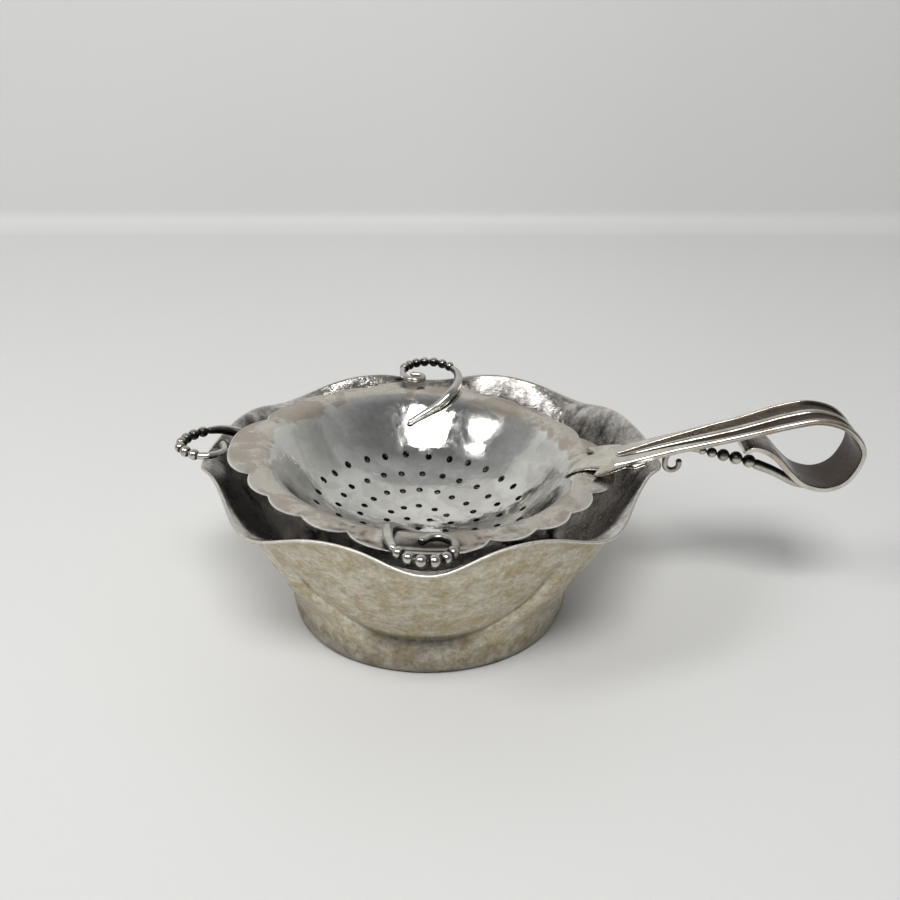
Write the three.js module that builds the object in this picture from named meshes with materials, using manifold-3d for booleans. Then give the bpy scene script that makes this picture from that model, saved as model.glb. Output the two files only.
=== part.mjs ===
// Silver tea strainer resting in its drip bowl.
// Millimetres, +Z up. Origin: centre of the drip bowl's base, on the table. +X: towards the handle.
import * as THREE from 'three';
import { mergeVertices } from 'three/addons/utils/BufferGeometryUtils.js';
import Module from 'manifold-3d';

const wasm = await Module();
wasm.setup();

const DEG = Math.PI / 180;

// ---- driving dimensions ----------------------------------------------------
const GAP = 0.35;               // clearance left between pieces that touch on the real object
const LOBES = 8;                // waves round the drip bowl's rim
const BOWL_RADIUS = 50;         // mean rim radius
const BOWL_HEIGHT = 37.3;       // mean rim height
const BOWL_WAVE_OUT = 1.3;      // how far a lobe's tip stands out
const BOWL_WAVE_DOWN = 1.7;     // how far a lobe's tip hangs below the mean rim
const BASE_RADIUS = 29.4;       // flat face that the bowl stands on
const PETAL_TURN = 2.5;         // degrees that the petals are turned from the axes
const PETAL_HALF = 38.5;        // degrees from the middle of a petal to its upright creases
const PETAL_TOP = 33.0;         // height where the creases have faded away
const PETAL_DROP = 24.2;        // from there down to the lowest point of a crease
const CREASE_DEPTH = 1.0;
const CREASE_WIDTH = 2.1;       // distance at which a crease has lost two thirds of its depth
const SHEET = 1.0;              // thickness of the drip bowl's sheet

const STRAINER_X = -1.95;       // the strainer sits a little away from the handle side
const STRAINER_Y = 0.8;
const STRAINER_Z = 37.4;        // height of the flange's upper face at the strainer's axis
const TILT_TO_HANDLE = 3.66;    // degrees, the handle side hangs lower
const TILT_TO_FRONT = 1.28;     // degrees, the front hangs lower
const FLANGE_SHEET = 0.9;
const NOTCH_RADIUS = 39.4;      // between two scallops
const WIDE_LOBE = { half: 21, rise: 3.9, power: 4 };   // four of these, where the tendrils and handle join
const SMALL_LOBE = { half: 8, rise: 1.4, power: 2 };   // three between each pair of wide ones
const HOLE_RADIUS = 0.75;

const STRAP_EDGE = 1.25;        // width of the raised thread along each edge of the handle
const STRAP_BACK = -0.6;        // back face, from the strap's middle plane
const STRAP_FLUTE = 0.15;       // floor of the two flutes
const STRAP_THREAD = 0.75;      // top of the edge threads and of the middle rib

const BEAD_RADIUS = 1.15;
const FIRST_BEAD = 28;          // degrees round a tendril's loop
const LAST_BEAD = 166;

// ---- finishes ---------------------------------------------------------------
const silver = (color, roughness) => new THREE.MeshStandardMaterial({ color, roughness, metalness: 1 });
const satinSilver = () => silver(0xb9b3a8, 0.42);
const brightSilver = () => silver(0xc9c8c4, 0.22);
const beadSilver = () => silver(0xc2beb6, 0.28);

const part = new THREE.Group();

function add(group, name, geometry, material) {
  const mesh = new THREE.Mesh(geometry, material);
  mesh.name = name;
  group.add(mesh);
  return mesh;
}

// ---- geometry helpers -------------------------------------------------------
const wave = (angle) => Math.cos(LOBES * angle) + 0.11 * Math.cos(2 * LOBES * angle);
const polar = (r, angle, z) => new THREE.Vector3(r * Math.cos(angle), r * Math.sin(angle), z);

// Closed surface through rings of points. A ring of one point is a pole.
function loft(rings) {
  const positions = [];
  const triangle = (a, b, c) => positions.push(...a.toArray(), ...b.toArray(), ...c.toArray());
  for (let i = 0; i + 1 < rings.length; i += 1) {
    const low = rings[i];
    const high = rings[i + 1];
    const count = Math.max(low.length, high.length);
    for (let j = 0; j < count; j += 1) {
      const k = (j + 1) % count;
      if (high.length > 1) triangle(low[j % low.length], high[k], high[j]);
      if (low.length > 1) triangle(low[j], low[k], high[k % high.length]);
    }
  }
  return facingOut(positions);
}

function facingOut(positions) {
  const a = new THREE.Vector3();
  const b = new THREE.Vector3();
  const c = new THREE.Vector3();
  let volume = 0;
  for (let i = 0; i < positions.length; i += 9) {
    a.fromArray(positions, i);
    b.fromArray(positions, i + 3);
    c.fromArray(positions, i + 6);
    volume += a.dot(b.cross(c));
  }
  if (volume < 0) {
    for (let i = 0; i < positions.length; i += 9) {
      for (let n = 0; n < 3; n += 1) {
        const keep = positions[i + 3 + n];
        positions[i + 3 + n] = positions[i + 6 + n];
        positions[i + 6 + n] = keep;
      }
    }
  }
  const geometry = new THREE.BufferGeometry();
  geometry.setAttribute('position', new THREE.Float32BufferAttribute(positions, 3));
  return mergeVertices(geometry, 1e-4);
}

// Sweeps a section along a curve. sectionAt(u) gives [across, up] points; 'across' is the fixed
// direction that the section's first axis leans to.
function sweep(curve, steps, across, sectionAt) {
  const rings = [];
  for (let i = 0; i <= steps; i += 1) {
    const u = i / steps;
    const centre = curve.getPointAt(u);
    const along = curve.getTangentAt(u);
    const up = new THREE.Vector3().crossVectors(along, across).normalize();
    const side = new THREE.Vector3().crossVectors(up, along).normalize();
    const ring = sectionAt(u).map(([s, h]) => centre.clone().addScaledVector(side, s).addScaledVector(up, h));
    if (i === 0) rings.push([centre]);
    rings.push(ring);
    if (i === steps) rings.push([centre]);
  }
  return loft(rings);
}

function roundSection(radius, sides = 8) {
  const points = [];
  for (let i = 0; i < sides; i += 1) {
    const angle = 2 * Math.PI * i / sides;
    points.push([radius * Math.cos(angle), radius * Math.sin(angle)]);
  }
  return points;
}

// Piecewise linear value along a wire: stops are [u, value].
function along(stops, u) {
  for (let i = 1; i < stops.length; i += 1) {
    const [u0, v0] = stops[i - 1];
    const [u1, v1] = stops[i];
    if (u <= u1) return v0 + (v1 - v0) * (u - u0) / (u1 - u0);
  }
  return stops[stops.length - 1][1];
}

const smoothCurve = (points) => new THREE.CatmullRomCurve3(
  points.map(([x, y, z]) => new THREE.Vector3(x, y, z)), false, 'centripetal');

function toSolid(geometry) {
  const vertProperties = new Float32Array(geometry.attributes.position.array);
  const triVerts = new Uint32Array(geometry.index.array);
  return new wasm.Manifold(new wasm.Mesh({ numProp: 3, vertProperties, triVerts }));
}

function fromSolid(solid) {
  const mesh = solid.getMesh();
  const geometry = new THREE.BufferGeometry();
  geometry.setAttribute('position', new THREE.BufferAttribute(mesh.vertProperties, 3));
  geometry.setIndex(new THREE.BufferAttribute(mesh.triVerts, 1));
  return geometry;
}

// ---- drip bowl --------------------------------------------------------------
// The bowl's side has four broad petals. Each is bounded by a U-shaped crease in the metal, low in the
// middle of the petal and running up beside it. Returns how far the side is moved outwards.
function petalCrease(angle, z) {
  const turned = angle / DEG + 45 + PETAL_TURN;
  const fromMiddle = Math.abs(turned % 90 - 45);
  const belowTop = Math.max(PETAL_TOP - z, 0);
  const level = (fromMiddle / PETAL_HALF) ** 3 + (belowTop / PETAL_DROP) ** 3;
  const across = 3 * (fromMiddle / PETAL_HALF) ** 2 / PETAL_HALF / 0.62;
  const upward = 3 * (belowTop / PETAL_DROP) ** 2 / PETAL_DROP / 1.25;
  const away = (1 - level) / (Math.hypot(across, upward) + 0.02);
  const fade = Math.min(belowTop / 9, 1);
  const shoulder = 0.3 * Math.exp(-(((away + 3.2) / 2) ** 2));
  const crease = Math.exp(-((away / CREASE_WIDTH) ** 2));
  return fade * (shoulder - CREASE_DEPTH * crease);
}

// Profile points are [radius, height, share of the rim's outward wave, share of its downward wave].
function dripBowl() {
  const outside = [
    [BASE_RADIUS, 0, 0, 0], [30.8, 0.9, 0, 0], [31.5, 2.8, 0, 0], [31.8, 4.9, 0, 0], [32.0, 6.9, 0, 0],
    [32.4, 8.8, 0, 0], [33.2, 10.8, 0, 0], [34.4, 13.0, 0.05, 0], [36.6, 16.2, 0.1, 0], [38.2, 18.7, 0.12, 0],
    [39.9, 21.4, 0.15, 0], [41.4, 23.8, 0.17, 0], [42.8, 26.3, 0.2, 0.05], [44.1, 28.5, 0.22, 0.07],
    [45.4, 30.7, 0.25, 0.1], [46.9, 33.9, 0.3, 0.2], [48.4, 36.0, 0.65, 0.6], [BOWL_RADIUS, BOWL_HEIGHT, 1, 1],
  ];
  const inside = [
    [BOWL_RADIUS - 0.6, BOWL_HEIGHT + 0.5, 1, 1], [48.0, 36.7, 0.65, 0.6], [46.0, 34.4, 0.3, 0.2],
    [44.5, 31.2, 0.25, 0.1], [43.2, 29.0, 0.22, 0.07], [41.9, 26.8, 0.2, 0.05], [40.5, 24.4, 0.17, 0],
    [39.0, 21.9, 0.15, 0], [37.3, 19.3, 0.12, 0], [35.7, 16.8, 0.1, 0], [33.6, 13.5, 0.05, 0],
    [32.2, 11.2, 0, 0], [31.3, 9.2, 0, 0], [30.9, 7.2, 0, 0], [30.7, 5.2, 0, 0], [30.4, 3.0, 0, 0],
    [BASE_RADIUS - 0.6, SHEET, 0, 0],
  ];
  const segments = LOBES * 12;
  const ringOf = ([r, z, out, down]) => {
    const ring = [];
    for (let i = 0; i < segments; i += 1) {
      const angle = 2 * Math.PI * i / segments;
      const radius = r + BOWL_WAVE_OUT * out * wave(angle) + petalCrease(angle, z);
      ring.push(polar(radius, angle, z - BOWL_WAVE_DOWN * down * wave(angle)));
    }
    return ring;
  };
  return loft([
    [new THREE.Vector3(0, 0, 0)],
    ...outside.map(ringOf),
    ...inside.map(ringOf),
    [new THREE.Vector3(0, 0, SHEET)],
  ]);
}

// ---- strainer ---------------------------------------------------------------
const strainer = new THREE.Group();
strainer.position.set(STRAINER_X, STRAINER_Y, STRAINER_Z);
strainer.rotation.set(TILT_TO_FRONT * DEG, TILT_TO_HANDLE * DEG, 0);
part.add(strainer);

// Upper face of the strainer from the flange down to the middle: [radius, height].
const STRAINER_FACE = [
  [36.6, 0], [34.2, -0.9], [31.8, -3.1], [28.2, -7.2], [23.5, -11.8],
  [18.6, -14.4], [13.4, -16.3], [7.4, -17.45], [0, -17.9],
];

// Rings of drain holes: radius, number of holes, first azimuth in degrees.
const HOLE_RINGS = [
  { radius: 23.5, count: 28, start: 86.5 },
  { radius: 18.6, count: 24, start: 89 },
  { radius: 13.4, count: 20, start: 90 },
  { radius: 7.4, count: 12, start: 90 },
  { radius: 3.0, count: 3, start: 30 },
];

// One quadrant of the scalloped edge: half a wide lobe, three small ones, half a wide lobe.
function scallopedEdge() {
  const edge = [];
  const addLobe = (middle, lobe, steps) => {
    for (let i = 0; i < steps; i += 1) {
      const s = -1 + 2 * i / steps;
      const radius = NOTCH_RADIUS + lobe.rise * (1 - Math.abs(s) ** lobe.power);
      edge.push({ angle: (middle + s * lobe.half) * DEG, radius });
    }
  };
  for (let quadrant = 0; quadrant < 4; quadrant += 1) {
    addLobe(90 * quadrant, WIDE_LOBE, 8);
    for (let n = 0; n < 3; n += 1) {
      const middle = 90 * quadrant + WIDE_LOBE.half + SMALL_LOBE.half * (2 * n + 1);
      addLobe(middle, SMALL_LOBE, 3);
    }
  }
  return edge;
}

function faceHeight(radius) {
  for (let i = 1; i < STRAINER_FACE.length; i += 1) {
    const [r0, h0] = STRAINER_FACE[i - 1];
    const [r1, h1] = STRAINER_FACE[i];
    if (radius >= r1) return h0 + (h1 - h0) * (radius - r0) / (r1 - r0);
  }
  return STRAINER_FACE[STRAINER_FACE.length - 1][1];
}

// The lower face is the upper face moved by the sheet's thickness along its normal.
function offsetFace(thickness) {
  return STRAINER_FACE.map(([r, h], i) => {
    const [ra, ha] = STRAINER_FACE[Math.max(i - 1, 0)];
    const [rb, hb] = STRAINER_FACE[Math.min(i + 1, STRAINER_FACE.length - 1)];
    const length = Math.hypot(ra - rb, ha - hb);
    if (r === 0) return [0, h - thickness];
    return [r + thickness * (ha - hb) / length, h - thickness * (ra - rb) / length];
  });
}

function strainerBowl() {
  const edge = scallopedEdge();
  const edgeRing = (inset, h) => edge.map(({ angle, radius }) => polar(radius - inset, angle, h));
  const roundRing = ([r, h]) => (r === 0
    ? [new THREE.Vector3(0, 0, h)]
    : edge.map(({ angle }) => polar(r, angle, h)));
  const shell = toSolid(loft([
    ...STRAINER_FACE.map(roundRing).reverse(),
    edgeRing(0.2, 0),
    edgeRing(0, -FLANGE_SHEET / 2),
    edgeRing(0.2, -FLANGE_SHEET),
    ...offsetFace(FLANGE_SHEET).map(roundRing),
  ]));
  let pierced = shell;
  for (const ring of HOLE_RINGS) {
    const slope = (faceHeight(ring.radius + 1) - faceHeight(ring.radius - 1)) / 2;
    for (let i = 0; i < ring.count; i += 1) {
      const angle = (ring.start + 360 * i / ring.count) * DEG;
      const drill = new THREE.CylinderGeometry(HOLE_RADIUS, HOLE_RADIUS, 6, 6);
      drill.deleteAttribute('normal');
      drill.deleteAttribute('uv');
      drill.rotateX(Math.PI / 2);
      drill.rotateY(-Math.atan(slope));
      drill.translate(ring.radius, 0, faceHeight(ring.radius));
      drill.rotateZ(angle);
      pierced = pierced.subtract(toSolid(mergeVertices(drill, 1e-4)));
    }
  }
  return fromSolid(pierced);
}

// ---- rim tendrils -----------------------------------------------------------
// Each tendril is drawn in its own frame: t along the rim, rho outwards, h above the flange.
const UP = new THREE.Vector3(0, 0, 1);
const loopPoint = (loop, degrees) => [
  loop.t + loop.halfWidth * Math.cos(degrees * DEG),
  loop.rho + loop.halfDepth * Math.sin(degrees * DEG),
  loop.h,
];

// Stems that start inside the strainer and pass over its flange, or start below the flange.
const STEM_OVER = [
  [-3.4, 27.2, -6.3], [-1.2, 28.3, -4.9], [1.4, 29.6, -3.1], [4.0, 31.1, -1.1],
  [6.3, 33.6, 1.3], [7.8, 37.6, 1.7], [8.2, 42.0, 1.7],
];
const STEM_OVER_FRONT = [
  [-3.4, 27.2, -6.3], [-1.2, 28.3, -4.9], [1.4, 29.6, -3.1], [3.8, 31.2, -1.2], [5.6, 33.6, 0.9], [6.6, 37.6, 1.7],
];
const STEM_UNDER = [
  [3.2, 35.9, -4.6], [6.2, 38.0, -3.0], [8.0, 41.5, -2.5],
];
const STEM_RADII = [[0, 0.7], [0.35, 1.15], [0.7, 1.1], [1, 1.0]];
const CURL_RADII = [[0, 0.85], [0.6, 0.75], [1, 0.5]];

// A scroll that turns inwards from the end of the bead line.
function scrollPath(loop, scroll) {
  const points = [loopPoint(loop, 184), loopPoint(loop, 192)];
  for (let degrees = 200; degrees <= 430; degrees += 23) {
    const r = scroll.radius * (1 - 0.25 * (degrees - 200) / 230);
    points.push([scroll.t + r * Math.cos(degrees * DEG), scroll.rho + r * Math.sin(degrees * DEG), loop.h]);
  }
  return points;
}

function rimTendril(side, azimuth, { stem, loop, beads, scroll }) {
  const frame = new THREE.Group();
  frame.rotation.z = (azimuth - 90) * DEG;
  strainer.add(frame);
  const stemPath = smoothCurve([...stem, loopPoint(loop, -4), loopPoint(loop, 12)]);
  add(frame, `${side}_tendril_stem`,
    sweep(stemPath, 22, UP, (u) => roundSection(along(STEM_RADII, u))), brightSilver());
  for (let i = 0; i < beads; i += 1) {
    const bead = add(frame, `${side}_tendril_bead_${i + 1}`, beadBall(BEAD_RADIUS), beadSilver());
    bead.position.set(...loopPoint(loop, FIRST_BEAD + (LAST_BEAD - FIRST_BEAD) * i / (beads - 1)));
  }
  const curl = smoothCurve(scrollPath(loop, scroll));
  add(frame, `${side}_tendril_scroll`,
    sweep(curl, 18, UP, (u) => roundSection(along(CURL_RADII, u), 6)), brightSilver());
}

function beadBall(radius) {
  const ball = new THREE.IcosahedronGeometry(radius, 1);
  ball.deleteAttribute('normal');
  ball.deleteAttribute('uv');
  return mergeVertices(ball, 1e-4);
}

// ---- handle -----------------------------------------------------------------
// Middle line of the strap in the XZ plane: up from the flange, round the loop, in to its tail.
const STRAP_LINE = [
  [33.4, 0, 36.4], [38.0, 0, 36.2], [42.5, 0, 36.9], [48.5, 0, 38.6], [55.1, 0, 40.4], [68.1, 0, 43.7],
  [78.7, 0, 46.8], [85.2, 0, 47.7], [91.2, 0, 45.6], [94.8, 0, 40.4], [92.6, 0, 34.2], [88.1, 0, 31.6],
  [82.8, 0, 32.6], [79.1, 0, 35.6], [76.2, 0, 38.8], [73.4, 0, 40.7], [70.8, 0, 41.3], [68.6, 0, 40.2],
];
const STRAP_WIDTHS = [[0, 3.0], [0.03, 6.0], [0.07, 9.0], [0.2, 9.2], [0.35, 10.2], [0.45, 12.0], [0.6, 12.5], [1, 12.0]];

function strapSection(width) {
  const half = width / 2;
  const edge = Math.min(STRAP_EDGE, half * 0.3);
  const rib = Math.min(0.9, half * 0.2);
  const right = [
    [half, STRAP_BACK], [half, STRAP_THREAD - 0.3], [half - edge * 0.4, STRAP_THREAD],
    [half - edge, STRAP_FLUTE], [rib + 0.5, STRAP_FLUTE], [rib * 0.4, STRAP_THREAD],
  ];
  const left = right.map(([s, h]) => [-s, h]).reverse();
  return [...right, ...left];
}

function handleStrap() {
  const line = smoothCurve(STRAP_LINE);
  const across = new THREE.Vector3(0, 1, 0);
  return sweep(line, 44, across, (u) => strapSection(along(STRAP_WIDTHS, u)));
}

// Wire below the strap: stem off the loop, five balls, then a hook that catches the bowl's rim.
const HANDLE_BEADS = [
  { x: 71.3, z: 35.9, radius: 1.35 }, { x: 68.25, z: 36.8, radius: 1.3 }, { x: 65.35, z: 37.5, radius: 1.2 },
  { x: 62.75, z: 38.1, radius: 1.0 }, { x: 60.55, z: 38.6, radius: 0.85 },
];
const HANDLE_STEM = [[85.6, 0, 29.6], [82.6, 0, 30.4], [79.6, 0, 32.1], [76.6, 0, 33.7], [73.6, 0, 34.9]];
const HANDLE_STEM_RADII = [[0, 0.8], [0.5, 1.1], [1, 1.2]];
const HOOK = { x: 54.1, z: 35.3, radius: 1.6 };

function handleHook() {
  const points = [[59.2, 0, 38.8], [57.4, 0, 39.0], [55.4, 0, 38.8], [53.6, 0, 38.0], [52.7, 0, 36.8]];
  for (let degrees = 175; degrees <= 375; degrees += 25) {
    points.push([
      HOOK.x + HOOK.radius * Math.cos(degrees * DEG), 0, HOOK.z + HOOK.radius * Math.sin(degrees * DEG),
    ]);
  }
  return sweep(smoothCurve(points), 20, new THREE.Vector3(0, 1, 0), (u) => roundSection(0.75 - 0.25 * u, 6));
}

function handle() {
  add(part, 'handle_strap', handleStrap(), satinSilver());
  const stem = sweep(smoothCurve(HANDLE_STEM), 8, new THREE.Vector3(0, 1, 0),
    (u) => roundSection(along(HANDLE_STEM_RADII, u)));
  add(part, 'handle_tendril_stem', stem, brightSilver());
  HANDLE_BEADS.forEach(({ x, z, radius }, i) => {
    const bead = add(part, `handle_bead_${i + 1}`, beadBall(radius), beadSilver());
    bead.position.set(x, 0, z);
  });
  add(part, 'handle_hook', handleHook(), brightSilver());
}

// ---- assembly ---------------------------------------------------------------
add(part, 'drip_bowl', dripBowl(), satinSilver());
add(strainer, 'strainer_bowl', strainerBowl(), satinSilver());
rimTendril('back', 90, {
  stem: STEM_OVER,
  loop: { t: 0.8, rho: 46.5, h: 1.5, halfWidth: 7.2, halfDepth: 6.6 },
  beads: 7,
  scroll: { t: -3.3, rho: 42.0, radius: 2.6 },
});
rimTendril('left', 180, {
  stem: STEM_UNDER,
  loop: { t: 0.3, rho: 46.9, h: -0.3, halfWidth: 7.2, halfDepth: 6.7 },
  beads: 7,
  scroll: { t: -4.2, rho: 46.1, radius: 1.9 },
});
rimTendril('front', 270, {
  stem: STEM_OVER_FRONT,
  loop: { t: -0.3, rho: 45.2, h: 2.4, halfWidth: 6.9, halfDepth: 5.9 },
  beads: 6,
  scroll: { t: -3.4, rho: 42.6, radius: 2.5 },
});
handle();

export default part;
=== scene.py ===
import math
import bpy
import numpy as np
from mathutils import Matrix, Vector
from mathutils.geometry import delaunay_2d_cdt

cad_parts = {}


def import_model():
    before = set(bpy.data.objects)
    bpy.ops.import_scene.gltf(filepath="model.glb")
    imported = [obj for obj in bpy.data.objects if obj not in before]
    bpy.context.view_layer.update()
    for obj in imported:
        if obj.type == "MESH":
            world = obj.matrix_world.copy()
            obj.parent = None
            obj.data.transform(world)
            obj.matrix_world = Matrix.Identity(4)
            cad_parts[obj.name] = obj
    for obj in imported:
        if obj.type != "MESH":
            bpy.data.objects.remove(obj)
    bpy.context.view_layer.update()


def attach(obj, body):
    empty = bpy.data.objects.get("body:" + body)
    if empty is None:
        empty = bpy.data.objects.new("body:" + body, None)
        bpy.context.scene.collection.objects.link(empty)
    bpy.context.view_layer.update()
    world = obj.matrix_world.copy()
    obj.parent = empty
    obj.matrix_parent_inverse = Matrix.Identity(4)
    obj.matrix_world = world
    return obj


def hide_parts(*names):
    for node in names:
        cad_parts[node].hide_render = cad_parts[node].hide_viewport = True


# Looks of the silver tea strainer in its drip bowl. Shapes are drawn in millimetres and stored in metres.
MM = 0.001
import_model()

# ---- driving dimensions, the same as the CAD part's --------------------------
LOBES = 8                       # waves round the drip bowl's rim
WAVE_OUT = 1.3                  # how far a lobe's tip stands out
WAVE_DOWN = 1.7                 # how far a lobe's tip hangs below the mean rim
PETAL_TURN = 2.5                # degrees that the petals are turned from the axes
PETAL_HALF = 38.5               # degrees from the middle of a petal to its upright creases
PETAL_TOP = 33.0                # height where the creases have faded away
PETAL_DROP = 24.2               # from there down to the lowest point of a crease
STRAINER_AT = (-1.95, 0.8, 37.4)
TILT_TO_HANDLE = math.radians(3.66)
TILT_TO_FRONT = math.radians(1.28)
NOTCH_RADIUS = 39.4             # between two scallops
WIDE_LOBE = (21.0, 3.9, 4)      # half angle, rise, squareness
SMALL_LOBE = (8.0, 1.4, 2)

# ---- dimensions and mesh density of the looks only ----------------------------
FOOT_SHIFT = 0.7                # the hand-raised foot is this far off centre in -X and in -Y
FOOT_SHIFT_TOP = 14             # height where that has faded away
BOWL_AROUND = 480               # points round the drip bowl
OUTSIDE_ROWS = 220
INSIDE_ROWS = 170
STRAINER_SHEET = 0.85
HOLE_RADIUS = 0.8
HOLE_SIDES = 20
RIM_STEP = 0.75                 # degrees between the points of the scalloped edge
EDGE_ROUND = 0.45               # width of the rounded edge of the scallops
FACE_END = 36.6                 # filling points lie within this radius
FACE_STEP = 0.85                # between rings of filling points
STRAP_ROWS = 300
STRAP_AROUND = 120
LEAF_STEP = 0.45
CDT_LIMIT = 1e-5                # points closer than this are merged
WORN_METAL = (0.88, 0.87, 0.84)

# ---- camera, room and lights ---------------------------------------------------
CAMERA_ELEVATION = math.radians(24.13)
CAMERA_DISTANCE = 0.26865
CAMERA_TARGET = Vector((0.00422, 0, 0.0386))
CAMERA_LENS = 48
CAMERA_SENSOR = 36
TABLE_FRONT = -1.5
TABLE_HALF_WIDTH = 1.4
WALL_AT = 0.36
WALL_TOP = 0.75
WALL_BEND = 0.012               # radius of the curve between table and wall
# Painted shade on the table, darker towards the right and the front, along an axis: share of the metre from
# -0.5 to 0.5, level.
TABLE_PAINTED_SHADE = (("X", [(0.5, 1.0), (0.62, 0.94)]), ("Y", [(0.38, 0.92), (0.47, 1.0)]))
ROOM_STRENGTH = 0.56
ROOM_BY_HEIGHT = [
    (-1.0, (0.8, 0.79, 0.76)), (0.0, (0.8, 0.8, 0.79)), (0.6, (0.8, 0.81, 0.82)), (0.95, (0.72, 0.73, 0.74)),
]
ROOM_BY_DEPTH = [
    (-1.0, (0.35, 0.35, 0.36)), (-0.3, (0.42, 0.42, 0.43)), (0.3, (1.0, 1.0, 1.0)), (1.0, (1.0, 1.0, 1.0)),
]
LIGHTS_AIM = Vector((0, 0, 0.03))
# Direction, distance, size, watts, colour.
LIGHTS = {
    "softbox_front": ((0.02, -0.57, 0.82), 1.1, (0.44, 0.34), 8.0, (1.0, 0.995, 0.98)),
    "window_left": ((-0.68, -0.36, 0.742), 1.2, (0.26, 0.5), 4.2, (1.0, 1.0, 1.0)),
}


# ---- curves and frames --------------------------------------------------------
def smooth(points, count):
    """Even points along a Catmull-Rom curve through rows of any width."""
    p = np.asarray(points, float)
    p = np.vstack([2 * p[0] - p[1], p, 2 * p[-1] - p[-2]])
    fine = []
    for i in range(1, len(p) - 2):
        a, b, c, d = p[i - 1], p[i], p[i + 1], p[i + 2]
        for s in np.arange(0, 1, 1 / 24):
            fine.append(0.5 * (2 * b + (c - a) * s + (2 * a - 5 * b + 4 * c - d) * s ** 2
                               + (3 * b - a - 3 * c + d) * s ** 3))
    fine = np.array(fine + [p[-2]])
    return even(fine, count)


def even(points, count):
    """Even points along a broken line, whose length is measured in its first three columns."""
    points = np.asarray(points, float)
    step = np.linalg.norm(np.diff(points[:, :3], axis=0), axis=1)
    length = np.concatenate([[0], np.cumsum(step)])
    at = np.linspace(0, length[-1], count)
    return np.stack([np.interp(at, length, column) for column in points.T], axis=1)


def to_strainer(p):
    """From the strainer's own frame to the row frame, in millimetres."""
    x, y, z = np.asarray(p, float).T
    ct, st = math.cos(TILT_TO_HANDLE), math.sin(TILT_TO_HANDLE)
    cf, sf = math.cos(TILT_TO_FRONT), math.sin(TILT_TO_FRONT)
    x, z = ct * x + st * z, ct * z - st * x
    y, z = cf * y - sf * z, sf * y + cf * z
    return np.stack([x, y, z], axis=1) + np.array(STRAINER_AT)


def from_strainer(p):
    """Undoes to_strainer."""
    x, y, z = (np.asarray(p, float) - np.array(STRAINER_AT)).T
    ct, st = math.cos(TILT_TO_HANDLE), math.sin(TILT_TO_HANDLE)
    cf, sf = math.cos(TILT_TO_FRONT), math.sin(TILT_TO_FRONT)
    y, z = cf * y + sf * z, cf * z - sf * y
    x, z = ct * x - st * z, ct * z + st * x
    return np.stack([x, y, z], axis=1)


def to_rim(azimuth):
    """From a tendril's frame (along the rim, outwards, up) to the row frame."""
    turn = math.radians(azimuth - 90)
    c, s = math.cos(turn), math.sin(turn)

    def place(p):
        t, rho, h = np.asarray(p, float).T
        return to_strainer(np.stack([c * t - s * rho, s * t + c * rho, h], axis=1))
    return place


# ---- mesh making ----------------------------------------------------------------
def make(name, points, faces, body, node, slot, material, normals=None, **shades):
    """A finished piece. Shades are the dark, worn and inner values at each point."""
    mesh = bpy.data.meshes.new(name)
    mesh.from_pydata((np.asarray(points) * MM).tolist(), [], faces)
    mesh.polygons.foreach_set("use_smooth", [True] * len(mesh.polygons))
    for shade in ("dark", "worn", "inner"):
        layer = mesh.attributes.new(shade, "FLOAT", "POINT")
        layer.data.foreach_set("value", np.clip(shades.get(shade, np.zeros(len(points))), 0, 1))
    mesh.update()
    if normals is not None:
        mesh.normals_split_custom_set_from_vertices(normals.tolist())
    obj = bpy.data.objects.new(name, mesh)
    bpy.context.scene.collection.objects.link(obj)
    mesh.materials.append(material)
    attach(obj, body)
    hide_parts(node)
    return obj


def tube_faces(rings, sides):
    """Faces of a tube whose rings of points follow one another, closed at both ends."""
    faces = []
    for i in range(rings - 1):
        for j in range(sides):
            k = (j + 1) % sides
            faces.append((i * sides + j, i * sides + k, (i + 1) * sides + k, (i + 1) * sides + j))
    faces.append(tuple(reversed(range(sides))))
    faces.append(tuple(range((rings - 1) * sides, rings * sides)))
    return faces


def directions(path, across):
    """Unit vectors along a path, sideways and upwards at each of its points."""
    along = np.gradient(path, axis=0)
    along /= np.linalg.norm(along, axis=1)[:, None]
    up = np.cross(along, across)
    up /= np.linalg.norm(up, axis=1)[:, None]
    side = np.cross(up, along)
    return along, side, up


def wire(path, radii, across, sides=20, end_rings=5):
    """Round wire with rounded ends. Radii are [share of length, radius] stops."""
    count = len(path)
    u = np.linspace(0, 1, count)
    stops = np.array(radii, float)
    r = np.interp(u, stops[:, 0], stops[:, 1])
    along, side, up = directions(path, np.array(across, float))
    cap = np.linspace(1.35, 0, end_rings, endpoint=False)
    centres = [(path[0] - along[0] * r[0] * math.sin(a), r[0] * math.cos(a), side[0], up[0]) for a in cap]
    centres += [(path[i], r[i], side[i], up[i]) for i in range(count)]
    centres += [(path[-1] + along[-1] * r[-1] * math.sin(a), r[-1] * math.cos(a), side[-1], up[-1])
                for a in cap[::-1]]
    points = []
    for centre, radius, s, w in centres:
        for j in range(sides):
            a = 2 * math.pi * j / sides
            points.append(centre + radius * (math.cos(a) * s + math.sin(a) * w))
    return np.array(points), tube_faces(len(centres), sides)


def lathe_ball(centre, along, radius, neck, sides=24, steps=18):
    """A ball threaded on a wire: round in the middle, with a short neck at each end."""
    along = np.asarray(along, float) / np.linalg.norm(along)
    side = np.cross(along, [0, 0, 1.0])
    side /= np.linalg.norm(side)
    up = np.cross(side, along)
    points = []
    for i in range(steps + 1):
        a = -math.pi / 2 + math.pi * i / steps
        s, r = radius * math.sin(a), radius * math.cos(a)
        r = max(r, neck * radius)
        for j in range(sides):
            b = 2 * math.pi * j / sides
            points.append(centre + s * along + r * (math.cos(b) * side + math.sin(b) * up))
    return np.array(points), tube_faces(steps + 1, sides)


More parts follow.
